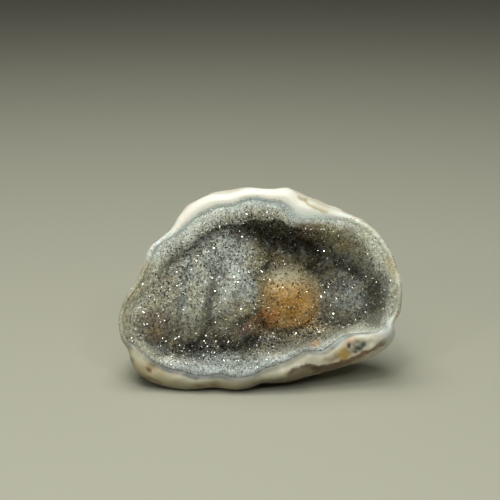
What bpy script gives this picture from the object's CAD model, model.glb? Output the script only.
"""Looks of the chalcedony rose: a bowl of banded chalcedony with a druse of quartz in its hollow.

The surfaces are worked out in the plane of the rim, in millimetres: u runs to the right,
v up the rim and w out of the hollow. stand_up() turns them to the part's frame, in metres.
"""
import math

import bmesh
import bpy
import numpy as np
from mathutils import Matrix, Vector, noise


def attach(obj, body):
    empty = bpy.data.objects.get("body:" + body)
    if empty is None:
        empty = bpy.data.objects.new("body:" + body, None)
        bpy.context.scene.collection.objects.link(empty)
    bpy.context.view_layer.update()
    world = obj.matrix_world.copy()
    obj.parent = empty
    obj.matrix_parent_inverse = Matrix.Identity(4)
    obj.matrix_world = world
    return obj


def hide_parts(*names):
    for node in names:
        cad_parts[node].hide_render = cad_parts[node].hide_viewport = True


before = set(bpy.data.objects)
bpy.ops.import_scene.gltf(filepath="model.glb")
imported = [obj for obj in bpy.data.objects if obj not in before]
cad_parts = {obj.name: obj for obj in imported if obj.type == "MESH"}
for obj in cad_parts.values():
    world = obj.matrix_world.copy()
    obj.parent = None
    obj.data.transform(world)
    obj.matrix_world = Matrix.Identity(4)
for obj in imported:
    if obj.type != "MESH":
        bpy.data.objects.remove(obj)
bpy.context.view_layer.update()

MM = 0.001

# How the rim's plane stands: its lean, and the base's middle in the leaning frame
LEAN = math.radians(15)
MIDDLE_X = -0.25
MIDDLE_Y = 6.8
FLOOR_Z = -15.9

# The stone's outline seen square to the rim: angle in degrees, radius
OUTLINE = (
    (0, 22.7), (13, 22.1), (23, 21.4), (30, 20.6), (37, 19.6), (44, 18.4), (52, 17.4),
    (60, 17.1), (68, 16.9), (76, 17.2), (85, 16.6), (98, 16.9), (108, 16.8), (119, 17.8),
    (131, 18.2), (138, 18.1), (145, 17.8), (152, 18.5), (158, 19.4), (168, 19.7),
    (176, 20.6), (187, 23.1), (197, 24.0), (204, 23.7), (208, 24.0), (213, 24.2),
    (217, 23.6), (223, 22.3), (230, 20.7), (234, 19.5), (243, 17.3), (253, 16.5),
    (263, 15.6), (271, 14.8), (287, 15.3), (297, 15.6), (308, 16.6), (319, 18.4),
    (328, 20.8), (337, 22.6), (342, 22.7), (346, 22.1), (351, 22.6),
)

# The bare lip's width, outline to crystals: angle, width
LIP = (
    (0, 1.0), (25, 1.0), (35, 1.2), (43, 1.7), (52, 2.7), (60, 3.6), (66, 3.9), (74, 3.1),
    (82, 2.4), (95, 2.1), (110, 2.4), (122, 2.6), (135, 2.4), (145, 1.6), (152, 1.1),
    (165, 1.0), (200, 1.0), (206, 2.1), (212, 3.5), (219, 3.9), (226, 3.9), (234, 3.1),
    (243, 2.7), (253, 2.3), (265, 2.3), (274, 2.8), (283, 3.4), (296, 4.0), (308, 4.7),
    (315, 4.4), (321, 5.1), (328, 6.5), (335, 6.5), (339, 4.6), (343, 2.2), (348, 1.4),
    (353, 1.1),
)

# The hollow's wall: angle, shoulder width, shoulder drop, wall width, foot height w, undercut
WALL = (
    (0, 2.2, 1.3, 3.2, -8.8, 0.05),
    (25, 3.0, 1.6, 3.6, -9.5, 0.04),
    (38, 2.8, 1.2, 4.0, -9.8, 0.04),
    (50, 2.1, 0.9, 3.4, -10.0, 0.12),
    (63, 1.4, 0.7, 2.5, -10.1, 0.26),
    (75, 2.3, 0.8, 2.1, -10.0, 0.26),
    (90, 2.9, 0.9, 1.7, -9.9, 0.29),
    (105, 3.0, 0.95, 1.5, -9.0, 0.3),
    (120, 2.8, 0.9, 1.2, -6.6, 0.2),
    (135, 2.5, 0.8, 1.2, -4.8, 0.12),
    (155, 2.9, 0.9, 1.6, -4.5, 0.05),
    (175, 1.6, 0.5, 3.4, -3.6, 0.0),
    (195, 1.0, 0.4, 6.0, -5.2, 0.0),
    (215, 1.6, 0.6, 5.0, -6.2, 0.0),
    (235, 1.6, 0.6, 4.0, -6.9, 0.0),
    (255, 1.5, 0.6, 3.4, -7.8, 0.0),
    (270, 1.3, 0.6, 3.0, -8.2, 0.0),
    (290, 0.9, 0.5, 2.6, -8.2, 0.0),
    (315, 0.4, 0.3, 2.2, -8.2, 0.0),
    (340, 0.3, 0.3, 2.4, -8.0, 0.0),
)

# The hollow's floor: its height at the right and how far it comes up towards the left
FLOOR_W = -9.4
FLOOR_RISE = 4.2
RISE_START = -1.0
RISE_WIDTH = 9.0

# Parts of the way out where the floor turns to the wall's foot, and where the undercut begins
FOOT_START = 0.35
FOOT_WIDTH = 0.5
UNDERCUT_START = 0.25
UNDERCUT_WIDTH = 0.45

# Growths on the hollow's floor: middle u, v, half width, half length, turn in degrees, top w, rise
BUTTON = (3.9, -1.4, 5.4, 5.3, 0, -3.9, 5.4)
MOUND = (-4.2, 1.0, 4.8, 10.4, 6, -3.0, 3.4)
RIDGE = (-10.4, 0.8, 3.7, 10.0, 12, -3.1, 2.6)
SIDE_RIDGE = (-15.0, -0.8, 3.0, 8.0, 14, -2.9, 1.9)
SIDE_FLAT = (-19.6, -4.4, 5.0, 7.6, 10, -1.8, 2.4)
PLATEAU = (12.8, -1.7, 5.6, 5.6, 0, -7.0, 2.4)
SHELF = (4.0, 5.0, 5.6, 2.4, -8, -7.9, 1.6)
UPPER_FLAT = (-8.2, 6.7, 4.2, 6.8, 63, -2.9, 1.9)
GROWTHS = (BUTTON, MOUND, RIDGE, SIDE_RIDGE, SIDE_FLAT, PLATEAU, SHELF, UPPER_FLAT)
CREASE = 0.5
OUTSIDE_FALL = 3.0

# The rim's height: it sways twice round the stone
RIM_MEAN = -0.6
RIM_SWAY = 1.0
RIM_HIGH = math.radians(85)

# Lumpiness of the hollow: size and height, and the calmer band along the crystals' edge
SWELL = (3.4, 0.35)
RIPPLE = (1.5, 0.2)
CALM_EDGE = 2.5

# The lip's round section
LIP_CREST = 0.45
LIP_BULGE = 0.3
LIP_FALL = (0.7, 0.45)

# The outer skin: depth behind the lip, and how square it is at the top and under the stone
DEPTH = 16.8
SQUARE_TOP = 2.9
SQUARE_UNDER = 2.75
UNDER_START = -0.1
UNDER_WIDTH = 0.7
SKIN_EDGE = math.radians(60)

# Lumps of the outer skin: size and height, the distance that stays level, where they set in
LOBE = (9.0, 2.6)
KNOB = (3.8, 0.9)
LUMP_LEVEL = 0.5
LUMPS_START = math.radians(22)

# Lumps low on the back that the stone stands on: middle, size, height
HEELS = (((6, -11, -13.5), 4.8, 3.4), ((-11, -11, -13.5), 4.8, 3.0))

# Ledges where a layer of the skin ends: turn, step inwards, how far the edge wavers
LEDGES = ((math.radians(17), 0.45, 0.10), (math.radians(38), 0.6, 0.16))
LEDGE_WAVE = 7.0
LEDGE_WIDTH = math.radians(5)

# The crust's thickness, the shell's seat behind it and the tuck of the crust's edge under the lip
CRUST = 0.75
SEAT = 1.15
TUCK = 0.35
TUCK_PART = 0.979
SEATED_PART = 0.985
SPREAD = 0.6

# Squares across the shell and the crust, as two rounds of cuts, and rows round lip and skin
SHELL_CUTS = (11, 12)
CRUST_CUTS = (13, 14)
LIP_ROWS = 22
SKIN_ROWS = 42

# Where the squares' border begins, as a part of the way out, and how level an edge is
BORDER_PART = 0.9999
LEVEL = 0.001


def clamp(value):
    """Values held between 0 and 1."""
    return np.clip(value, 0.0, 1.0)


def ease(value):
    """A smooth step from 0 to 1."""
    t = clamp(value)
    return t * t * (3 - 2 * t)


def around(table, angle):
    """A table's columns at these angles, by smooth curves through its rows, closed at 360 degrees."""
    rows = np.array(table, float)
    count = len(rows)
    degrees = np.degrees(angle) % 360
    row = np.searchsorted(rows[:, 0], degrees, side="right") - 1
    before, first, second, after = (rows[(row + step) % count] for step in (-1, 0, 1, 2))
    span = (second[:, 0] - first[:, 0]) % 360
    t = ((degrees - first[:, 0]) / span)[:, None]
    slope_in, slope_out = (second - before) / 2, (after - first) / 2
    values = (
        first * (2 * t**3 - 3 * t**2 + 1)
        + slope_in * (t**3 - 2 * t**2 + t)
        + second * (3 * t**2 - 2 * t**3)
        + slope_out * (t**3 - t**2)
    )
    return list(values[:, 1:].T)


def wave(points, size):
    """Smooth noise from -1 to 1 at each point."""
    return np.array([noise.noise(point) for point in (points / size).tolist()])


def nearest_seed(points, size):
    """The distance, in sizes, from each point to the nearest of scattered seeds."""
    return np.array([noise.voronoi(point)[0][0] for point in (points / size).tolist()])


def flat_points(angle, radius, w):
    """Points from their angle, radius and height over the rim's plane."""
    return np.stack([radius * np.cos(angle), radius * np.sin(angle), w], 1)


def soft_max(first, second, width):
    """The higher of two heights, rounded where they meet."""
    near = np.maximum(width - np.abs(first - second), 0) / width
    return np.maximum(first, second) + near * near * width / 4


def growth_height(growth, u, v, depth):
    """The height w of one growth, an ellipsoid's cap that falls away steeply outside."""
    mid_u, mid_v, half_u, half_v, turn, top, rise = growth
    c, s = math.cos(math.radians(turn)), math.sin(math.radians(turn))
    across = ((u - mid_u) * c - (v - mid_v) * s) / (half_u - depth)
    along = ((u - mid_u) * s + (v - mid_v) * c) / (half_v - depth)
    reach = np.hypot(across, along)
    cap = rise * (1 - np.sqrt(1 - np.minimum(reach, 1) ** 2))
    return top - depth - cap - rise * OUTSIDE_FALL * np.maximum(reach - 1, 0)


def rim_height(angle):
    """The height w of the lip's inner edge."""
    return RIM_MEAN + RIM_SWAY * np.cos(2 * (angle - RIM_HIGH))


def crystal_edge(angle):
    """The radius where the crystals begin."""
    return around(OUTLINE, angle)[0] - around(LIP, angle)[0]


def hollow(angle, part, depth=0.0):
    """Points of the hollow, part (0 to 1) of the way from its middle to the crystals' edge.

    With a depth, they lie in the stone, that far behind the surface.
    """
    edge = crystal_edge(angle)
    shoulder, drop, wall, foot, undercut = around(WALL, angle)
    radius = edge * part
    u, v = radius * np.cos(angle), radius * np.sin(angle)
    inside = edge - radius + depth
    rim = rim_height(angle) - depth
    brow = rim - drop
    middle = FLOOR_W + FLOOR_RISE * ease((RISE_START - u) / RISE_WIDTH)
    floor = middle + (foot - middle) * ease((part - FOOT_START) / FOOT_WIDTH) - depth
    on_shoulder = clamp(inside / shoulder)
    on_wall = clamp((inside - shoulder) / wall)
    w = rim - drop * on_shoulder**2 - (brow - floor) * (1 - (1 - on_wall) ** 2)
    for growth in GROWTHS:
        w = soft_max(w, growth_height(growth, u, v, depth), CREASE)
    flat = np.stack([u, v, np.zeros_like(u)], 1)
    for size, height in (SWELL, RIPPLE):
        w = w + height * ease((edge - radius) / CALM_EDGE) * wave(flat, size)
    hung = ease((part - UNDERCUT_START) / UNDERCUT_WIDTH)
    pushed = radius + undercut * hung * np.maximum(brow - w, 0)
    return flat_points(angle, pushed, w)


def lip_points(angle, across):
    """Points of the bare lip, from the crystals (0) to the outline (1)."""
    edge = crystal_edge(angle)
    width = around(OUTLINE, angle)[0] - edge
    rim = rim_height(angle)
    crest = LIP_BULGE * np.minimum(width, 1)
    rising = np.sin(math.pi / 2 * clamp(across / LIP_CREST))
    falling = clamp((across - LIP_CREST) / (1 - LIP_CREST))
    fall = LIP_FALL[0] + LIP_FALL[1] * width
    w = rim + crest * rising - fall * (1 - np.sqrt(1 - falling * falling))
    return flat_points(angle, edge + width * across, w)


def skin_points(angle, turn):
    """Points of the outer skin: turn goes from 0 at the outline to a quarter turn at the back."""
    start = lip_points(angle, np.ones_like(angle))
    under = ease((-np.sin(angle) - UNDER_START) / UNDER_WIDTH)
    power = 2 / (SQUARE_TOP + (SQUARE_UNDER - SQUARE_TOP) * under)
    radius = np.hypot(start[:, 0], start[:, 1]) * np.maximum(np.cos(turn), 0) ** power
    w = start[:, 2] - (DEPTH + start[:, 2]) * np.sin(turn) ** power
    points = flat_points(angle, radius, w)
    outward = points + np.array((0, 0, DEPTH / 2))
    outward /= np.linalg.norm(outward, axis=1)[:, None]
    height = np.zeros_like(w)
    for middle, size, rise in HEELS:
        away = np.linalg.norm(points - np.array(middle), axis=1) / size
        height = height + rise * np.exp(-away * away)
    for size, rise in (LOBE, KNOB):
        nearest = nearest_seed(points, size)
        height = height + rise * ease(turn / LUMPS_START) * (LUMP_LEVEL - nearest * nearest)
    for start_turn, step, wander in LEDGES:
        edge = start_turn + wander * wave(points, LEDGE_WAVE)
        height = height - step * ease((turn - edge) / LEDGE_WIDTH)
    return points + outward * height[:, None]


def stand_up(points):
    """Points of the rim's frame in millimetres, in the part's frame in metres, above the floor."""
    u, v, w = points.T
    x = u - MIDDLE_X
    y = v * math.sin(LEAN) - w * math.cos(LEAN) - MIDDLE_Y
    z = v * math.cos(LEAN) + w * math.sin(LEAN) - FLOOR_Z
    return np.stack([x, y, np.maximum(z, 0)], 1) * MM


def polar(across, up):
    """The angles and parts of a square's points, with the square rounded to a disc."""
    x = across * np.sqrt(1 - up * up / 2)
    y = up * np.sqrt(1 - across * across / 2)
    return np.arctan2(y, x), np.minimum(np.hypot(x, y), 1.0)


def deselect():
    """Deselect every object."""
    bpy.ops.object.select_all(action="DESELECT")


def select_edges(mesh, wanted):
    """In edit mode, select the edges for which wanted(y of one end, y of the other) holds."""
    bm = bmesh.from_edit_mesh(mesh)
    for edge in bm.edges:
        edge.select_set(bool(wanted(edge.verts[0].co.y, edge.verts[1].co.y)))
    bmesh.update_edit_mesh(mesh)


def block(name, cuts, rows):
    """A cube of side 2 with a grid on its front and back and rows round its sides."""
    deselect()
    bpy.ops.mesh.primitive_cube_add(size=2)
    piece = bpy.context.object
    piece.name = piece.data.name = name
    bpy.ops.object.mode_set(mode="EDIT")
    bpy.ops.mesh.select_mode(type="EDGE")
    select_edges(piece.data, lambda first, second: first * second < 0)
    if rows > 1:
        bpy.ops.mesh.subdivide(number_cuts=rows - 1)
    for count in cuts:
        select_edges(piece.data, lambda first, second: abs(first - second) < LEVEL)
        bpy.ops.mesh.subdivide(number_cuts=count)
    bpy.ops.object.mode_set(mode="OBJECT")
    return piece


def places_of(piece):
    """A piece's vertices as an array."""
    found = np.empty(len(piece.data.vertices) * 3)
    piece.data.vertices.foreach_get("co", found)
    return found.reshape(-1, 3)


def move_to(piece, points):
    """Move a piece's vertices, and turn its faces outwards."""
    piece.data.vertices.foreach_set("co", points.ravel())
    piece.data.update()
    bpy.ops.object.mode_set(mode="EDIT")
    bpy.ops.mesh.select_all(action="SELECT")
    bpy.ops.mesh.normals_make_consistent(inside=False)
    bpy.ops.object.mode_set(mode="OBJECT")


def note(piece, name, values):
    """Keep a value for each vertex, for the materials to read."""
    kept = piece.data.attributes.new(name, "FLOAT", "POINT")
    kept.data.foreach_set("value", np.asarray(values, np.float32))


# Where the lip is narrow the druse creeps over it, but for a thin bare edge at the outline
BARE_WIDTH = 1.75
CREEP_FADE = 0.6
EDGE_BARE = 0.1
DRUSE_FADE = 0.6

# How far beyond the lip the outer skin's cream sets in, and over what distance
SKIN_START = 1.6
SKIN_FADE = 3.0

# Crystals on the lip: how close they stand, how far strays reach, and where they reach less far
CRYSTAL_SPACE = 0.19
STRAY_REACH = 1.0
STRAY_REACH_LOW = 0.25
STRAY_FADE = 0.6
LOW_START = -4.0
LOW_WIDTH = 5.0

# Lumps and pits of the lip, most of them at the lower right: middle u and v, size, height
LIP_LUMPS = (
    ((20.6, -5.9), 1.2, 0.55), ((18.6, -6.5), 1.0, 0.3), ((16.4, -7.1), 1.1, 0.35),
    ((13.2, -8.0), 1.0, 0.25), ((10.6, -9.6), 1.4, 0.35), ((7.8, -10.4), 1.0, 0.2),
    ((14.2, -8.6), 0.45, -0.5), ((15.3, -9.2), 0.5, -0.55), ((16.4, -8.6), 0.4, -0.45),
    ((15.2, -8.2), 0.35, -0.4), ((17.6, -8.2), 0.45, -0.3), ((12.2, -10.6), 0.6, -0.3),
    ((6.1, -12.7), 1.0, 0.35), ((7.9, -12.5), 0.5, -0.3), ((3.6, -13.0), 0.8, 0.25),
    ((-10.0, -14.3), 0.9, 0.25), ((-7.5, -14.8), 0.6, -0.25), ((-17.8, -12.6), 0.8, -0.3),
    ((-13.4, -13.9), 1.0, 0.25), ((-21.6, -9.4), 0.7, -0.45), ((9.0, 14.1), 1.7, 0.2),
)

# The height w below which the skin has none of them, and over what height they set in
LUMPS_DEEPEST = -5.0
LUMPS_FADE = 2.0

# Fine relief of the bare chalcedony: size and height, and how many sizes apart their noise is
LIP_WAVES = ((2.6, 0.10), (1.0, 0.045), (0.4, 0.018))
SKIN_WAVES = ((2.2, 0.16), (0.8, 0.07), (0.35, 0.03))
WAVES_APART = 7


def make_shell():
    """The chalcedony: a seat behind the crust, the lip with its bands, and the lumpy skin."""
    rows = 1 + LIP_ROWS + SKIN_ROWS
    piece = block("banded_chalcedony", SHELL_CUTS, rows)
    across, depth, up = places_of(piece).T
    row = np.rint((depth + 1) / 2 * rows).astype(int)
    angle, part = polar(across, up)
    border = part > BORDER_PART
    points = np.zeros((len(row), 3))
    width = around(LIP, angle)[0]
    band = np.full(len(row), -1.0)
    is_seat = (row == 0) & ~border
    points[is_seat] = hollow(angle[is_seat], part[is_seat], SEAT)
    is_rim = (row == 0) & border
    points[is_rim] = lip_points(angle[is_rim], np.zeros(is_rim.sum())) - np.array((0, 0, SEAT))
    is_lip = (row > 0) & (row <= LIP_ROWS + 1)
    share = (row[is_lip] - 1) / LIP_ROWS
    points[is_lip] = lip_points(angle[is_lip], share)
    band[is_lip] = width[is_lip] * share
    is_side = (row > LIP_ROWS + 1) & border
    turn = SKIN_EDGE * (row[is_side] - 1 - LIP_ROWS) / SKIN_ROWS
    points[is_side] = skin_points(angle[is_side], turn)
    band[is_side] = width[is_side] + DEPTH * turn
    is_back = (row == rows) & ~border
    turn = math.pi / 2 - (math.pi / 2 - SKIN_EDGE) * part[is_back]
    points[is_back] = skin_points(angle[is_back], turn)
    band[is_back] = width[is_back] + DEPTH * turn
    relief_out(points, is_lip, LIP_WAVES)
    near_rim = ease((points[:, 2] - LUMPS_DEEPEST) / LUMPS_FADE)
    for middle, size, rise in LIP_LUMPS:
        away = np.hypot(points[:, 0] - middle[0], points[:, 1] - middle[1]) / size
        points[:, 2] += (row > 1) * near_rim * rise * np.exp(-away * away)
    relief_out(points, is_side | is_back, SKIN_WAVES)
    move_to(piece, stand_up(points))
    creep = ease((BARE_WIDTH - width) / CREEP_FADE)
    beyond = band - width
    note(piece, "band", band)
    note(piece, "skin", ease((beyond - SKIN_START) / SKIN_FADE))
    note(piece, "druse", creep * ease((DRUSE_FADE - beyond) / DRUSE_FADE))
    note(piece, "share", band / width)
    note(piece, "inset", np.zeros(len(row)))
    bpy.ops.object.shade_smooth()
    reach = STRAY_REACH + (STRAY_REACH_LOW - STRAY_REACH) * ease((LOW_START - points[:, 1]) / LOW_WIDTH)
    return piece, chance_on_lip(band, width, creep, row, reach)


def chance_on_lip(band, width, creep, row, reach):
    """How likely a crystal stands on each vertex of the lip, as its rows are closer than crystals."""
    on_lip = (row > 0) & (row <= LIP_ROWS + 1)
    closer = width / LIP_ROWS / CRYSTAL_SPACE
    thinning = ease((reach - band) / STRAY_FADE)
    covered = creep * (band < width - EDGE_BARE)
    return on_lip * closer * np.maximum(thinning, covered)


def relief_out(points, chosen, waves):
    """Raise and lower the chosen points away from the stone's middle."""
    place = points[chosen]
    outward = place + np.array((0, 0, DEPTH / 2))
    outward /= np.linalg.norm(outward, axis=1)[:, None]
    height = sum(rise * wave(place + size * WAVES_APART, size) for size, rise in waves)
    points[chosen] = place + outward * height[:, None]


# The crust's sugary surface: size and height of its round grains, how they fade at its border,
# and the random roughness
SUGAR = (0.8, 0.2)
SUGAR_FADE = 0.03
ROUGH = 0.045
ROUGH_SEED = 5

# The crystals stand further apart at a broad lip: their share there, and how far in all stand
RIM_FILL = 0.4
FILLED_INSET = 3.0


def make_crust():
    """The crust: the hollow's surface, rough with sugary grains, and a hidden underside."""
    piece = block("druse_ground", CRUST_CUTS, 1)
    across, depth, up = places_of(piece).T
    front = depth < 0
    angle, part = polar(across, up)
    reach = clamp(part / TUCK_PART)
    reach = SPREAD * reach + (1 - SPREAD) * np.sin(reach * math.pi / 2)
    tucked = clamp((part - TUCK_PART) / (1 - TUCK_PART)) * TUCK
    points = np.where(front[:, None], hollow(angle, reach), hollow(angle, reach, CRUST))
    outward = np.stack([np.cos(angle), np.sin(angle), -np.ones_like(angle)], 1)
    points = points + outward * tucked[:, None]
    rng = np.random.default_rng(ROUGH_SEED)
    nearest = nearest_seed(points[front], SUGAR[0])
    lumps = SUGAR[1] * (LUMP_LEVEL - nearest * nearest)
    points[front, 2] += lumps * ease((1.0 - part[front]) / SUGAR_FADE)
    points[front] += rng.uniform(-ROUGH, ROUGH, (front.sum(), 3))
    move_to(piece, stand_up(points))
    inset = crystal_edge(angle) * (1 - reach)
    note(piece, "inset", inset)
    filled = RIM_FILL + (1 - RIM_FILL) * ease(inset / FILLED_INSET)
    filled = np.maximum(filled, ease((BARE_WIDTH - around(LIP, angle)[0]) / CREEP_FADE))
    return piece, (front & (part < SEATED_PART)) * filled, inset


def crystal(sides, shoulder):
    """A crystal of width and height 1: a prism of this many sides up to its shoulder, and a point.

    With its shoulder at 1 it is flat at the top, as if it lies on its side.
    """
    turns = np.arange(sides) * 2 * math.pi / sides
    ring = np.stack([np.cos(turns) / 2, np.sin(turns) / 2, np.zeros(sides)], 1)
    tip = np.array([[0.0, 0.0, 1.0]])
    base = tuple(range(sides))[::-1]
    if shoulder <= 0:
        faces = [(i, (i + 1) % sides, sides) for i in range(sides)]
        return np.concatenate([ring, tip]), [base, *faces]
    upper = ring + np.array((0, 0, shoulder))
    walls = [(i, (i + 1) % sides, sides + (i + 1) % sides, sides + i) for i in range(sides)]
    if shoulder >= 1:
        return np.concatenate([ring, upper]), [base, *walls, tuple(range(sides, 2 * sides))]
    faces = [(sides + i, sides + (i + 1) % sides, 2 * sides) for i in range(sides)]
    return np.concatenate([ring, upper, tip]), [base, *walls, *faces]


def grow(name, shape, seats, normals, widths, heights, tilt, rng):
    """One crystal on each seat, all joined in one mesh: shape is a crystal's points and faces."""
    corners, faces = shape
    count, size = len(seats), len(corners)
    axis = normals + rng.normal(0, tilt, (count, 3))
    axis /= np.linalg.norm(axis, axis=1)[:, None]
    side = np.cross(axis, rng.normal(0, 1, (count, 3)))
    side /= np.linalg.norm(side, axis=1)[:, None]
    other = np.cross(axis, side)
    x, y, z = corners.T
    across = widths[:, None]
    points = (
        seats[:, None, :]
        + side[:, None, :] * (across * x)[:, :, None]
        + other[:, None, :] * (across * y)[:, :, None]
        + axis[:, None, :] * (heights[:, None] * z)[:, :, None]
    ).reshape(-1, 3)
    mesh = bpy.data.meshes.new(name)
    loops = np.concatenate([np.array(face) for face in faces])
    lengths = np.array([len(face) for face in faces])
    all_loops = (loops[None, :] + np.arange(count)[:, None] * size).ravel()
    all_lengths = np.tile(lengths, count)
    mesh.vertices.add(len(points))
    mesh.vertices.foreach_set("co", points.ravel())
    mesh.loops.add(len(all_loops))
    mesh.loops.foreach_set("vertex_index", all_loops.astype(np.int32))
    mesh.polygons.add(len(all_lengths))
    starts = np.concatenate([[0], np.cumsum(all_lengths)[:-1]])
    mesh.polygons.foreach_set("loop_start", starts.astype(np.int32))
    mesh.update(calc_edges=True)
    mesh.shade_flat()
    piece = bpy.data.objects.new(name, mesh)
    bpy.context.scene.collection.objects.link(piece)
    return piece


def normals_of(piece):
    """The direction of each vertex of a piece."""
    found = np.empty(len(piece.data.vertices) * 3, np.float32)
    piece.data.vertices.foreach_get("normal", found)
    return found.reshape(-1, 3).astype(float)


# Sizes of the crystals, lowest and highest: width, height, how far they are sunk, random grain
# (the dark ones are at its low end and the clear ones at its high end)
GRAIN = ((0.14, 0.25), (0.09, 0.16), 0.0, (0.08, 0.9))
STUB = ((0.20, 0.38), (0.12, 0.24), 0.04, (0.04, 0.915))
FACE = ((0.15, 0.30), (0.22, 0.32), 0.04, (0.0, 1.0))

# The kinds: name, sides, shoulder, sizes, share of the seats, tilt, share that mirrors the light
KINDS = (
    ("quartz_grains", 3, 0.0, GRAIN, 1.0, 3.0, 0.1),
    ("quartz_stubs", 6, 0.0, STUB, 0.4, 0.5, 0.1),
    ("quartz_faces", 4, 1.0, FACE, 0.19, 0.5, 0.8),
)

# How far a crystal stands off its seat, how fully the mirrors are metal, and the draws' seed
STRAY = 0.1
MIRROR = 0.95
CRYSTAL_SEED = 11

# Crystals are smaller at the rim, as a share of their size, and reach it this far in
RIM_SIZE = 0.5
FULL_SIZE_INSET = 3.2


def make_crystals(seats_of, chances, insets):
    """The druse: three-sided grains all over, low six-sided points and flat faces among them."""
    rng = np.random.default_rng(CRYSTAL_SEED)
    places = np.concatenate([places_of(piece) for piece in seats_of])
    ways = np.concatenate([normals_of(piece) for piece in seats_of])
    chance = np.concatenate(chances)
    inset = np.concatenate(insets)
    made = []
    for name, sides, shoulder, sizes, share, tilt, mirrored in KINDS:
        widths, heights, sunk, kinds = sizes
        seated = rng.uniform(0, 1, len(chance)) < share * chance
        count = seated.sum()
        stray = rng.uniform(-STRAY, STRAY, (count, 3)) * MM
        seats = places[seated] + stray - ways[seated] * sunk * MM
        size = (RIM_SIZE + (1 - RIM_SIZE) * ease(inset[seated] / FULL_SIZE_INSET)) * MM
        width = rng.uniform(*widths, count) * size
        height = rng.uniform(*heights, count) * size
        shape = crystal(sides, shoulder)
        grown = grow(name, shape, seats, ways[seated], width, height, tilt, rng)
        note(grown, "grain", np.repeat(rng.uniform(*kinds, count), len(shape[0])))
        mirror = rng.uniform(0, 1, count) < mirrored
        note(grown, "mirror", np.repeat(mirror * MIRROR, len(shape[0])))
        note(grown, "inset", np.repeat(inset[seated], len(shape[0])))
        made.append(grown)
    return made


class Value:
    """A shader socket that can be written into sums: each sign adds its own Math node."""

    def __init__(self, finish, socket):
        self.finish = finish
        self.socket = socket

    def math(self, operation, *values):
        """This value and others through one Math node."""
        return self.finish.node("ShaderNodeMath", {"operation": operation}, dict(enumerate(values)))

    def __add__(self, other):
        return self.math("ADD", self, other)

    def __sub__(self, other):
        return self.math("SUBTRACT", self, other)

    def __mul__(self, other):
        return self.math("MULTIPLY", self, other)

    def __rsub__(self, other):
        return self.math("SUBTRACT", other, self)

    __radd__ = __add__

    def most(self, other):
        """The higher of this and another value."""
        return self.math("MAXIMUM", self, other)


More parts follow.
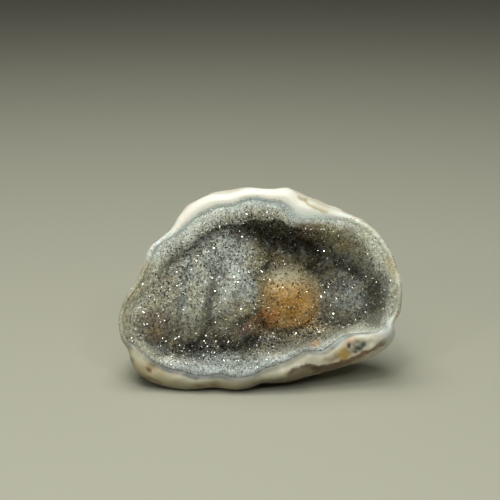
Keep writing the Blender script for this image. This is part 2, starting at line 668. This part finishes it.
class Finish:
    """A material with one Principled surface, and short ways to add the nodes behind it."""

    def __init__(self, name, **sockets):
        self.material = bpy.data.materials.new(name)
        self.material.use_nodes = True
        self.tree = self.material.node_tree
        self.surface = self.tree.nodes["Principled BSDF"]
        for socket, value in sockets.items():
            self.surface.inputs[socket.replace("_", " ")].default_value = value

    def node(self, kind, settings=None, values=None, output=0):
        """Add a node: its settings first, then the values or links of its sockets."""
        made = self.tree.nodes.new(kind)
        for name, value in (settings or {}).items():
            setattr(made, name, value)
        for name, value in (values or {}).items():
            if isinstance(value, Value):
                self.tree.links.new(value.socket, made.inputs[name])
            else:
                made.inputs[name].default_value = value
        return Value(self, made.outputs[output])

    def set(self, socket, value):
        """Lead a value to one of the surface's sockets."""
        self.tree.links.new(value.socket, self.surface.inputs[socket])

    def mix(self, factor, first, second, blend="MIX"):
        """Two colours mixed by a factor."""
        settings = {"data_type": "RGBA", "blend_type": blend}
        return self.node("ShaderNodeMix", settings, {0: factor, 6: first, 7: second}, 2)

    def shaded(self, colour, shade):
        """A colour made lighter or darker by a value."""
        grey = self.node("ShaderNodeCombineXYZ", None, {0: shade, 1: shade, 2: shade})
        return self.mix(1.0, colour, grey, "MULTIPLY")

    def step(self, value, low, high):
        """A smooth step of a value, 0 at low and 1 at high, which may be the lower one."""
        settings = {"interpolation_type": "SMOOTHSTEP"}
        return self.node("ShaderNodeMapRange", settings, {0: value, 1: low, 2: high})

    def cloud(self, place, size, detail=2.0, seed=0.0):
        """Soft noise from 0 to 1 with blotches of about this size."""
        values = {"Vector": place, "W": seed, "Scale": 1 / size, "Detail": detail}
        return self.node("ShaderNodeTexNoise", {"noise_dimensions": "4D"}, values)

    def drift(self, place, size, reach, seed=0.0):
        """A place moved about by noise, so that what is painted there gets a natural edge."""
        values = {"Vector": place, "W": seed, "Scale": 1 / size, "Detail": 2.0}
        cloud = self.node("ShaderNodeTexNoise", {"noise_dimensions": "4D"}, values, 1)
        centred = self.vector("SUBTRACT", cloud, (0.5, 0.5, 0.5))
        return self.vector("MULTIPLY_ADD", centred, (reach, reach, 0), place)

    def vector(self, operation, *values, output=0):
        """Vectors through one Vector Math node."""
        return self.node(
            "ShaderNodeVectorMath", {"operation": operation}, dict(enumerate(values)), output
        )

    def spot(self, place, middle, half, turn, soft):
        """1 inside an ellipse on the rim's plane, falling to 0 over a soft edge."""
        values = {
            "Vector": place,
            "Location": (*middle, 0),
            "Rotation": (0, 0, math.radians(turn)),
            "Scale": (*half, 1),
        }
        inside = self.node("ShaderNodeMapping", {"vector_type": "TEXTURE"}, values)
        reach = self.vector("LENGTH", inside, output=1)
        return self.step(reach, 1 + soft, 1 - soft)

    def stained(self, colour, place, stains, share=1.0):
        """A colour with stains painted over it, each in its own strength times a share."""
        for paint, middle, half, turn, soft, strength in stains:
            spot = self.spot(place, middle, half, turn, soft)
            colour = self.mix(spot * (share * strength), colour, paint)
        return colour

    def rim_place(self):
        """Where a point lies on the rim's plane, in millimetres: (u, v, 0), and its u, v and w."""
        place = self.node("ShaderNodeTexCoord", output=3)
        x, y, z = (self.node("ShaderNodeSeparateXYZ", None, {0: place}, i) for i in range(3))
        back = y * (1 / MM) + MIDDLE_Y
        high = z * (1 / MM) + FLOOR_Z
        u = x * (1 / MM) + MIDDLE_X
        v = high * math.cos(LEAN) + back * math.sin(LEAN)
        w = high * math.sin(LEAN) - back * math.cos(LEAN)
        flat = self.node("ShaderNodeCombineXYZ", None, {0: u, 1: v})
        whole = self.node("ShaderNodeCombineXYZ", None, {0: u, 1: v, 2: w})
        return flat, whole, u, v, w

    def kept(self, name):
        """A value kept on the piece's vertices."""
        return self.node("ShaderNodeAttribute", {"attribute_name": name}, None, 2)


def tone(red, green, blue):
    """A colour given as sRGB from 0 to 255, as the shader wants it."""
    parts = (np.array((red, green, blue)) / 255).tolist()
    linear = [p / 12.92 if p <= 0.04045 else ((p + 0.055) / 1.055) ** 2.4 for p in parts]
    return (*linear, 1.0)


# The stone's paints: whites and cool greys
SNOW = tone(246, 250, 244)
FROST = tone(234, 238, 234)
PEARL = tone(226, 228, 215)
MIST = tone(216, 224, 222)
SAGE = tone(216, 220, 204)
CLOUD = tone(196, 203, 203)
STEEL = tone(174, 182, 180)
BLUE_LINE = tone(142, 149, 146)
SLATE = tone(104, 106, 104)
LEAD = tone(62, 66, 65)
INK = tone(40, 41, 40)

# Creams, straw and olive
IVORY = tone(206, 203, 186)
CREAM = tone(205, 201, 175)
WHEAT = tone(204, 194, 155)
FLAX = tone(184, 180, 154)
BUFF = tone(184, 172, 140)
ASH = tone(155, 152, 131)
STRAW = tone(155, 143, 108)
HAY = tone(142, 132, 103)
LICHEN = tone(125, 120, 98)
DUSK = tone(110, 108, 93)
LOAM = tone(111, 100, 76)
SHADE = tone(89, 86, 75)
OLIVE = tone(88, 79, 56)
MOSS = tone(68, 61, 45)

# Browns, rust and amber
UMBER = tone(47, 39, 26)
CHESTNUT = tone(64, 49, 31)
BARK = tone(56, 35, 19)
PEAT = tone(36, 24, 11)
SOOT = tone(29, 26, 20)
SEAM = tone(79, 54, 30)
RUST = tone(110, 71, 44)
TAN = tone(112, 85, 51)
KHAKI = tone(129, 106, 70)
OCHRE = tone(144, 128, 80)
MUSTARD = tone(146, 120, 44)
AMBER = tone(188, 142, 60)
ORANGE = tone(210, 134, 52)
COPPER = tone(186, 112, 58)
PEACH = tone(200, 164, 132)
HONEY = tone(242, 204, 138)

# The druse's own colours, and how far in its pale border, its edge and its line fade
DRUSE_GROUND = tone(184, 182, 164)
DRUSE_UNDER = tone(60, 56, 48)
DRUSE_LEFT = tone(172, 170, 148)
PALE_INSET = (3.6, 0.6)
EDGE_INSET = (1.6, 0.4)
LINE_INSET = (0.7, 0.2)

# Where along the rim the druse's edge changes colour: from, to
EDGE_RIGHT = (9.0, 14.0)
EDGE_LEFT = (-12.0, -18.0)
EDGE_LEFT_TOP = (7.0, 3.0)
LINE_TOP = (-6.0, -10.0)
LINE_STRENGTH = 0.6

# Patches in the druse: colour, size, seed; then the noise's detail, the step that cuts them out,
# how strong they are and how much less so at the pale rim
DRUSE_CLOUDS = ((tone(176, 164, 118), 1.7, 7.0), (tone(150, 162, 174), 2.6, 8.0))
PATCH_DETAIL = 3.0
PATCH_STEP = (0.5, 0.68)
PATCH_STRENGTH = 0.45
PATCH_LESS_PALE = 0.3

# Lighter and darker clouds in the druse: size, detail, seed
COARSE_CLOUD = (2.2, 3.0, 1.0)
FINE_CLOUD = (0.5, 2.0, 2.0)

# How much these clouds shade the druse, and how much less the fine ones shade the button
COARSE_SHADE = 0.6
FINE_SHADE = 1.1
FINE_LESS_BUTTON = 0.7

# Noise that moves the stains' edges about: size, reach, seed
COARSE_DRIFT = (5.0, 3.0, 0.0)
FINE_DRIFT = (1.1, 0.9, 3.0)
SHELL_DRIFT = (1.2, 1.0, 4.0)

# The druse's stains: colour, middle u and v, half width, half height, turn, softness, strength
DRUSE_STAINS = (
    (MIST, (-8.5, 6.6), (6.5, 3.0), 27, 0.5, 0.85),
    (SNOW, (-10.7, 9.9), (5.6, 1.5), 37, 0.6, 0.9),
    (FROST, (10.8, 11.2), (5.6, 1.2), -22, 0.5, 0.9),
    (FROST, (-13.4, 7.8), (2.6, 1.5), 35, 0.6, 0.8),
    (SAGE, (-10.4, -0.5), (1.9, 6.5), -12, 0.5, 0.8),
    (MIST, (-3.6, 1.6), (3.2, 6.5), -6, 0.4, 0.9),
    (STRAW, (-3.2, -3.6), (2.8, 2.4), -6, 0.6, 0.75),
    (SLATE, (-8.0, -1.0), (0.8, 4.6), -10, 0.8, 0.85),
    (STEEL, (-13.0, -0.5), (0.6, 5.0), -14, 0.8, 0.7),
    (FLAX, (-19.0, -1.0), (2.4, 4.0), -10, 0.6, 0.7),
    (DUSK, (-20.0, -7.2), (2.2, 1.8), 0, 0.7, 0.6),
    (RUST, (-16.9, -6.2), (2.4, 2.8), 15, 0.8, 0.75),
    (OLIVE, (3.8, 8.8), (6.4, 1.5), -8, 0.5, 0.9),
    (UMBER, (8.4, 5.4), (4.2, 2.1), -42, 0.5, 0.9),
    (OLIVE, (10.5, 2.2), (3.4, 1.1), -10, 0.6, 0.7),
    (LOAM, (0.6, 8.4), (2.2, 0.8), -10, 0.6, 0.5),
    (KHAKI, (8.2, 8.5), (2.4, 0.7), -25, 0.6, 0.8),
    (KHAKI, (8.4, 10.0), (3.6, 0.7), -14, 0.7, 0.8),
    (WHEAT, (13.6, 8.4), (2.8, 1.3), -36, 0.7, 0.7),
    (CREAM, (0.0, 5.4), (1.8, 2.8), -10, 0.6, 0.85),
    (UMBER, (6.2, 7.3), (3.6, 1.1), -22, 0.6, 0.85),
    (OCHRE, (3.6, 5.3), (4.6, 1.3), -8, 0.5, 0.85),
    (OLIVE, (14.0, 3.4), (3.6, 1.8), -40, 0.6, 0.85),
    (MOSS, (14.9, 2.6), (2.2, 1.1), -45, 0.6, 0.8),
    (SHADE, (14.0, -5.2), (3.4, 0.8), 14, 0.6, 0.5),
    (SAGE, (18.6, -4.8), (1.9, 1.2), 30, 0.6, 0.8),
    (DUSK, (12.4, -1.4), (4.8, 4.2), 0, 0.5, 0.85),
    (STEEL, (14.8, -1.2), (2.5, 2.5), 0, 0.8, 0.85),
    (SAGE, (17.2, 6.8), (2.4, 4.4), 34, 0.6, 0.6),
    (WHEAT, (21.0, 4.2), (1.2, 1.8), 20, 0.7, 0.7),
    (SHADE, (19.0, -1.2), (1.9, 4.6), -6, 0.6, 0.85),
    (ASH, (21.8, -2.5), (1.0, 3.4), 0, 0.6, 0.7),
    (PEAT, (-3.0, -5.2), (3.0, 0.5), 36, 0.5, 0.9),
    (COPPER, (-2.6, -6.0), (2.8, 0.55), 36, 0.5, 0.85),
    (BARK, (0.2, 3.2), (2.0, 0.5), 52, 0.5, 1.0),
    (MOSS, (-5.6, -8.4), (7.4, 1.2), 0, 0.8, 0.85),
    (SHADE, (-14.6, -9.1), (4.0, 1.0), -6, 0.7, 0.85),
    (DUSK, (-10.8, -7.2), (1.6, 1.2), 0, 0.7, 0.6),
    (CREAM, (-13.8, -7.0), (1.2, 1.2), 0, 0.7, 0.6),
    (CHESTNUT, (-1.2, -7.2), (1.7, 0.9), 10, 0.6, 0.8),
    (LICHEN, (6.4, -8.2), (6.0, 0.9), 14, 0.8, 0.8),
    (HAY, (-13.1, 5.4), (3.9, 0.3), 34, 0.8, 0.7),
    (ASH, (-8.7, 8.9), (1.9, 0.25), 49, 0.8, 0.6),
    (SOOT, (-9.6, -10.0), (4.8, 1.2), -2, 0.6, 0.95),
    (LICHEN, (-9.0, -5.8), (6.0, 2.4), 0, 0.6, 0.6),
    (STEEL, (-6.0, -12.2), (12.5, 1.8), 2, 0.5, 0.9),
    (OLIVE, (-1.5, 9.6), (3.0, 0.8), -5, 0.6, 0.7),
    (MOSS, (2.4, 7.6), (2.4, 1.0), -15, 0.6, 0.7),
    (UMBER, (7.4, 4.6), (2.6, 1.2), -35, 0.6, 0.8),
    (MOSS, (11.9, 5.0), (2.2, 1.0), -35, 0.6, 0.7),
    (STRAW, (8.8, 7.8), (2.6, 0.9), -25, 0.7, 0.7),
    (SHADE, (12.6, 0.9), (2.6, 1.2), 0, 0.6, 0.7),
    (SHADE, (9.4, -5.6), (2.2, 0.8), 30, 0.6, 0.7),
    (DUSK, (11.9, -6.6), (2.4, 0.7), 20, 0.6, 0.7),
    (MOSS, (-8.0, -7.6), (2.4, 0.9), 0, 0.6, 0.6),
    (DUSK, (-17.0, -9.4), (1.8, 0.8), -30, 0.6, 0.6),
    (CLOUD, (-10.6, 7.6), (2.6, 0.9), 35, 0.6, 0.7),
    (CLOUD, (-7.6, 4.0), (2.0, 2.6), 0, 0.6, 0.5),
    (WHEAT, (14.6, 8.0), (1.8, 2.2), 40, 0.6, 0.6),
    (WHEAT, (11.6, 8.6), (3.4, 1.1), -32, 0.6, 0.7),
    (HAY, (-20.2, -4.6), (1.8, 1.6), 0, 0.6, 0.6),
    (PEACH, (8.7, -8.7), (1.1, 0.45), 8, 0.5, 0.8),
    (PEAT, (3.6, 7.9), (7.5, 1.6), -12, 0.6, 0.65),
)

# The amber button's, in the same order of values, painted over the druse's
BUTTON_STAINS = (
    (BUFF, (4.4, -1.3), (5.2, 5.1), 0, 0.12, 0.95),
    (AMBER, (4.7, -2.4), (3.9, 3.7), 0, 0.8, 0.95),
    (HONEY, (4.4, -6.0), (5.0, 1.3), 0, 0.6, 0.85),
    (HONEY, (7.5, -3.8), (1.5, 1.9), -30, 0.7, 0.7),
    (ORANGE, (0.8, -4.4), (1.6, 1.2), 30, 0.7, 0.6),
    (CREAM, (3.2, 2.6), (4.0, 1.2), 0, 0.7, 0.7),
    (CREAM, (5.4, -6.9), (5.0, 0.8), 3, 0.6, 0.7),
)

# The trough under the brow, where few crystals glint: middle, half sizes, turn, softness
TROUGH = ((5.5, 6.5), (7.5, 2.2), -30, 0.5)


def druse_colour(finish):
    """The druse's cloudy colour, and how much of it is the pale rim's, the button's, the trough's."""
    flat, whole, u, v = finish.rim_place()[:4]
    place = finish.drift(finish.drift(flat, *COARSE_DRIFT), *FINE_DRIFT)
    inset = finish.kept("inset")
    pale = finish.step(inset, *PALE_INSET)
    colour = finish.mix(pale, DRUSE_GROUND, PEARL)
    edge = finish.mix(finish.step(u, *EDGE_RIGHT), MIST, PEARL)
    left = finish.step(u, *EDGE_LEFT) * finish.step(v, *EDGE_LEFT_TOP)
    edge = finish.mix(left, edge, DRUSE_LEFT)
    colour = finish.mix(finish.step(inset, *EDGE_INSET), colour, edge)
    line = finish.step(inset, *LINE_INSET) * finish.step(v, *LINE_TOP) * LINE_STRENGTH
    colour = finish.stained(colour, place, DRUSE_STAINS)
    for paint, size, seed in DRUSE_CLOUDS:
        cloud = finish.cloud(whole, size, PATCH_DETAIL, seed)
        patch = finish.step(cloud, *PATCH_STEP) * (PATCH_STRENGTH - pale * PATCH_LESS_PALE)
        colour = finish.mix(patch, colour, paint)
    colour = finish.mix(line, colour, BLUE_LINE)
    colour = finish.stained(colour, place, BUTTON_STAINS)
    button = finish.spot(place, *BUTTON_STAINS[0][1:5])
    trough = finish.spot(place, *TROUGH)
    cloudy = finish.cloud(whole, *COARSE_CLOUD)
    fine = finish.cloud(whole, *FINE_CLOUD)
    fine_shade = (fine - 0.5) * (FINE_SHADE - button * FINE_LESS_BUTTON)
    shade = (cloudy - 0.5) * COARSE_SHADE + fine_shade + 1
    return finish.shaded(colour, shade), pale, button, trough


# How dark the ground is between the crystals, and how much less at the pale rim and on the button
UNDER_STRENGTH = 0.3
UNDER_LESS = 0.25


def make_ground_finish():
    """The crust between its crystals, darker than they are."""
    finish = Finish("druse_ground", Roughness=0.35, IOR=1.54)
    colour, pale, button = druse_colour(finish)[:3]
    dark = UNDER_STRENGTH - (pale + button) * UNDER_LESS
    finish.set("Base Color", finish.mix(dark, colour, DRUSE_UNDER))
    return finish.material


# The clear crystals and the mirrors, and the random grain at which the clear and dark ones begin
CLEAR = tone(255, 255, 252)
SILVER = tone(180, 180, 176)
CLEAR_GRAIN = (0.9, 0.91)
DARK_GRAIN = (0.1, 0.09)

# How much the grain shades a crystal, how much less at the pale rim and on the button, and the mean
GRAIN_SHADE = 1.4
GRAIN_LESS_PALE = 0.7
GRAIN_LESS_BUTTON = 0.6
GRAIN_MEAN = 0.97

# Shares of the mirrors that the pale rim, the button and the trough lack, and how sharply they stop
PALE_LACK = 0.4
BUTTON_LACK = 0.75
TROUGH_LACK = 0.85
LACK_FADE = 0.01


def make_crystal_finish():
    """Quartz: each crystal a little lighter or darker than its place, a few of them dark flecks."""
    finish = Finish(
        "quartz",
        Roughness=0.12,
        IOR=1.544,
        Specular_IOR_Level=1.0,
        Transmission_Weight=0.2,
    )
    colour, pale, button, trough = druse_colour(finish)
    grain = finish.kept("grain")
    contrast = GRAIN_SHADE - pale * GRAIN_LESS_PALE - button * GRAIN_LESS_BUTTON
    colour = finish.shaded(colour, (grain - 0.5) * contrast + GRAIN_MEAN)
    clear = finish.step(grain, *CLEAR_GRAIN) * (1 - button * BUTTON_LACK)
    colour = finish.mix(clear, colour, CLEAR)
    colour = finish.mix(finish.step(grain, *DARK_GRAIN), colour, SOOT)
    lack = (pale * PALE_LACK).most(button * BUTTON_LACK).most(trough * TROUGH_LACK)
    mirror = finish.kept("mirror") * finish.step(grain, lack, lack + LACK_FADE)
    tint = finish.mix(button, SILVER, HONEY)
    finish.set("Base Color", finish.mix(mirror, colour, tint))
    finish.set("Metallic", mirror)
    return finish.material


# The bare chalcedony's own colours
LIP_GREY = tone(184, 194, 192)
LIP_WHITE = tone(230, 229, 220)
SKIN_CREAM = tone(226, 218, 196)

# Where the lip's lower, left, upper right and far right parts and its seam set in, from and to,
# and how deep its stains go
LOW_LIP = (-4.0, -9.0)
LEFT_LIP = (4.0, -2.0)
RIGHT_LIP = (3.0, 7.0)
RIGHT_LIP_TOP = (4.0, 8.0)
FAR_RIGHT = (14.0, 18.0)
SEAM_START = (3.0, 6.0)
STAIN_DEPTH = (-6.0, -4.0)

# Where its grey ends and its white begins, in mm from the crystals, and how much further out
# that is in the lower lip and at the upper right
GREY_END = 0.2
GREY_END_LOW = 0.4
WHITE_START = 0.9
WHITE_START_LOW = 0.3
WHITE_START_RIGHT = 1.6

# Shares of the lip's width: where it turns brown, and where the seam begins and ends
BROWN_SHARE = (0.5, 0.95)
SEAM_SHARES = ((0.62, 0.7), (0.84, 0.74))

# How strong the brown is and how much less so at the far right, and how strong mottling and seam are
BROWN_STRENGTH = 0.85
BROWN_LESS_FAR = 0.5
MOTTLE_STRENGTH = 0.5
SEAM_STRENGTH = 0.75

# Clouds that move the bands and the brown about, mottle the lip and tint the skin: size, detail, seed
BAND_CLOUD = (2.0, 2.0, 0.0)
BROWN_CLOUD = (1.2, 4.0, 7.0)
MOTTLE_CLOUD = (1.3, 5.0, 6.0)
MOTTLE_STEP = (0.48, 0.72)
SKIN_CLOUD = (3.0, 4.0, 5.0)

# How far they move the bands, and less in the lower lip, and how far the brown
BAND_WANDER = 0.5
BAND_LESS_LOW = 0.25
BROWN_WANDER = 0.5

# The bare chalcedony's stains: colour, middle u and v, half sizes, turn, softness, strength
SHELL_STAINS = (
    (IVORY, (9.0, 14.2), (3.2, 1.2), -27, 0.4, 0.8),
    (STRAW, (8.6, 13.9), (2.2, 0.75), -27, 0.12, 0.6),
    (IVORY, (8.9, 14.35), (2.3, 0.75), -27, 0.15, 1.0),
    (STRAW, (6.4, 15.0), (0.8, 0.35), -20, 0.6, 0.7),
    (LICHEN, (-4.0, -14.9), (15.0, 0.9), 1, 0.6, 0.75),
    (CHESTNUT, (2.6, -14.4), (5.0, 1.1), 8, 0.6, 0.75),
    (BLUE_LINE, (9.4, -9.6), (2.2, 0.5), 20, 0.5, 0.6),
    (ASH, (5.5, -11.7), (6.0, 1.2), 18, 0.6, 0.6),
    (MUSTARD, (13.2, -9.9), (1.4, 1.0), 30, 0.7, 0.95),
    (CLOUD, (20.6, -6.2), (1.9, 1.6), 20, 0.5, 0.8),
    (STEEL, (12.2, -7.7), (1.4, 0.9), 30, 0.6, 0.6),
    (PEACH, (14.2, -8.0), (1.1, 0.6), 20, 0.5, 0.6),
    (DUSK, (15.3, -8.9), (1.7, 0.95), 20, 0.5, 0.85),
    (INK, (14.0, -8.7), (0.35, 0.4), 0, 0.5, 0.8),
    (INK, (15.6, -9.2), (0.6, 0.4), 20, 0.5, 0.85),
    (LEAD, (16.4, -8.6), (0.4, 0.5), 0, 0.5, 0.8),
    (UMBER, (14.9, -9.7), (0.4, 0.25), 20, 0.5, 0.7),
    (TAN, (11.0, -10.8), (1.4, 0.5), 20, 0.7, 0.6),
    (SEAM, (11.0, -12.2), (5.0, 0.6), 16, 0.6, 0.9),
    (CHESTNUT, (6.4, -12.6), (2.4, 0.9), 16, 0.2, 0.9),
    (LOAM, (6.3, -13.0), (2.3, 0.75), 16, 0.2, 0.95),
    (BARK, (8.9, -12.2), (1.0, 0.35), 10, 0.5, 0.9),
    (TAN, (16.0, -10.2), (2.6, 0.35), 24, 0.7, 0.8),
    (TAN, (-10.0, -15.0), (0.8, 0.3), 0, 0.7, 0.8),
    (TAN, (-7.6, -14.9), (0.7, 0.35), 0, 0.7, 0.7),
    (STRAW, (-18.4, -12.6), (2.2, 1.1), -28, 0.8, 0.7),
    (RUST, (-18.2, -12.6), (0.6, 0.3), -50, 0.6, 0.9),
    (TAN, (-18.0, -14.0), (1.8, 0.3), -25, 0.6, 0.8),
    (CREAM, (-20.3, -9.9), (2.4, 1.5), -50, 0.6, 0.45),
    (OLIVE, (-21.6, -10.2), (1.3, 0.25), -52, 0.8, 0.7),
)


def make_shell_finish():
    """Chalcedony: blue-grey at the crystals, then white, and a cream skin with brown stains."""
    finish = Finish(
        "banded_chalcedony",
        Roughness=0.38,
        IOR=1.54,
        Subsurface_Weight=0.25,
        Subsurface_Scale=0.001,
    )
    flat, whole, u, v, w = finish.rim_place()
    low = finish.step(v, *LOW_LIP)
    wander = BAND_WANDER - low * BAND_LESS_LOW
    band = finish.kept("band") + (finish.cloud(whole, *BAND_CLOUD) - 0.5) * wander
    skin = finish.kept("skin")
    left = finish.step(u, *LEFT_LIP)
    grey = finish.mix(low, LIP_GREY, LEAD)
    white = finish.mix(low, LIP_WHITE, IVORY)
    white = finish.mix(low * left, white, ASH)
    right = finish.step(u, *RIGHT_LIP) * finish.step(v, *RIGHT_LIP_TOP)
    grey = finish.mix(right, grey, MIST)
    grey_end = GREY_END + low * GREY_END_LOW
    white_start = WHITE_START + low * WHITE_START_LOW + right * WHITE_START_RIGHT
    colour = finish.mix(finish.step(band, grey_end, white_start), grey, white)
    share = finish.kept("share") + (finish.cloud(whole, *BROWN_CLOUD) - 0.5) * BROWN_WANDER
    strength = BROWN_STRENGTH - finish.step(u, *FAR_RIGHT) * BROWN_LESS_FAR
    colour = finish.mix(finish.step(share, *BROWN_SHARE) * low * strength, colour, HAY)
    mottle = finish.step(finish.cloud(whole, *MOTTLE_CLOUD), *MOTTLE_STEP)
    colour = finish.mix(mottle * low * MOTTLE_STRENGTH, colour, STRAW)
    begins, ends = (finish.step(share, *shares) for shares in SEAM_SHARES)
    seam = begins * ends * finish.step(u, *SEAM_START)
    colour = finish.mix(seam * low * SEAM_STRENGTH, colour, SEAM)
    cream = finish.mix(finish.cloud(whole, *SKIN_CLOUD), SKIN_CREAM, BUFF)
    colour = finish.mix(skin, colour, cream)
    place = finish.drift(flat, *SHELL_DRIFT)
    colour = finish.stained(colour, place, SHELL_STAINS, finish.step(w, *STAIN_DEPTH))
    druse = druse_colour(finish)[0]
    finish.set("Base Color", finish.mix(finish.kept("druse"), colour, druse))
    return finish.material


def wear(piece, finish):
    """Give a piece its one material."""
    piece.data.materials.clear()
    piece.data.materials.append(finish)


FLOOR_RADIUS = 3
FLOOR_TONE = tone(162, 162, 149)


def make_floor():
    """A plain pale floor."""
    deselect()
    bpy.ops.mesh.primitive_circle_add(vertices=96, radius=FLOOR_RADIUS, fill_type="NGON")
    floor = bpy.context.object
    floor.name = "floor"
    finish = Finish("floor", Base_Color=FLOOR_TONE, Roughness=0.7)
    wear(floor, finish.material)


# The room and the lamps: name, place, size, watts, all a little warm and aimed at the stone
SKY_TONE = tone(190, 190, 182)
SKY_STRENGTH = 0.145
WARM = (1.0, 1.0, 0.92)
STONE_MIDDLE = Vector((0, 0, 0.015))
LAMPS = (
    ("softbox_above", (-0.05, 0.02, 0.42), 0.35, 1.34),
    ("softbox_in_front", (-0.04, -0.29, 0.38), 0.36, 0.97),
    ("sparkle_left", (-0.22, -0.36, 0.2), 0.05, 0.24),
    ("sparkle_right", (0.16, -0.36, 0.28), 0.05, 0.24),
    ("sparkle_high", (-0.05, -0.24, 0.4), 0.05, 0.24),
)


def lamp(name, place, size, watts):
    """A round soft lamp that looks at the stone."""
    light = bpy.data.lights.new(name, "AREA")
    light.shape = "DISK"
    light.size = size
    light.energy = watts
    light.color = WARM
    holder = bpy.data.objects.new(name, light)
    holder.location = place
    holder.rotation_euler = (STONE_MIDDLE - Vector(place)).to_track_quat("-Z", "Y").to_euler()
    bpy.context.scene.collection.objects.link(holder)


def make_light():
    """Soft studio light: a pale room, two softboxes, and small lamps for the crystals' sparkle."""
    world = bpy.data.worlds.new("studio")
    world.use_nodes = True
    sky = world.node_tree.nodes["Background"]
    sky.inputs["Color"].default_value = SKY_TONE
    sky.inputs["Strength"].default_value = SKY_STRENGTH
    bpy.context.scene.world = world
    for values in LAMPS:
        lamp(*values)


# The camera looks square into the rim: where it aims on the rim's plane, and how far off it stands
AIM = (-1.92, 6.73, 0.0)
FAR = 222.6
LENS = 100


def make_camera():
    """The camera, at the height and distance of the photograph's."""
    aim, eye = stand_up(np.array([AIM, (AIM[0], AIM[1], FAR)]))
    camera = bpy.data.cameras.new("camera")
    camera.lens = LENS
    camera.clip_start = 0.01
    holder = bpy.data.objects.new("camera", camera)
    holder.location = eye
    holder.rotation_euler = (Vector(aim) - Vector(eye)).to_track_quat("-Z", "Y").to_euler()
    bpy.context.scene.collection.objects.link(holder)
    bpy.context.scene.camera = holder


make_camera()
make_floor()
make_light()
bpy.context.scene.view_settings.view_transform = "Standard"

shell, lip_chance = make_shell()
wear(shell, make_shell_finish())
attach(shell, "root")
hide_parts("chalcedony_shell")

crust, crust_chance, inset = make_crust()
wear(crust, make_ground_finish())
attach(crust, "root")
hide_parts("drusy_quartz_crust")

quartz = make_crystal_finish()
lip_inset = np.zeros_like(lip_chance)
for crystals in make_crystals((crust, shell), (crust_chance, lip_chance), (inset, lip_inset)):
    wear(crystals, quartz)
    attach(crystals, "root")
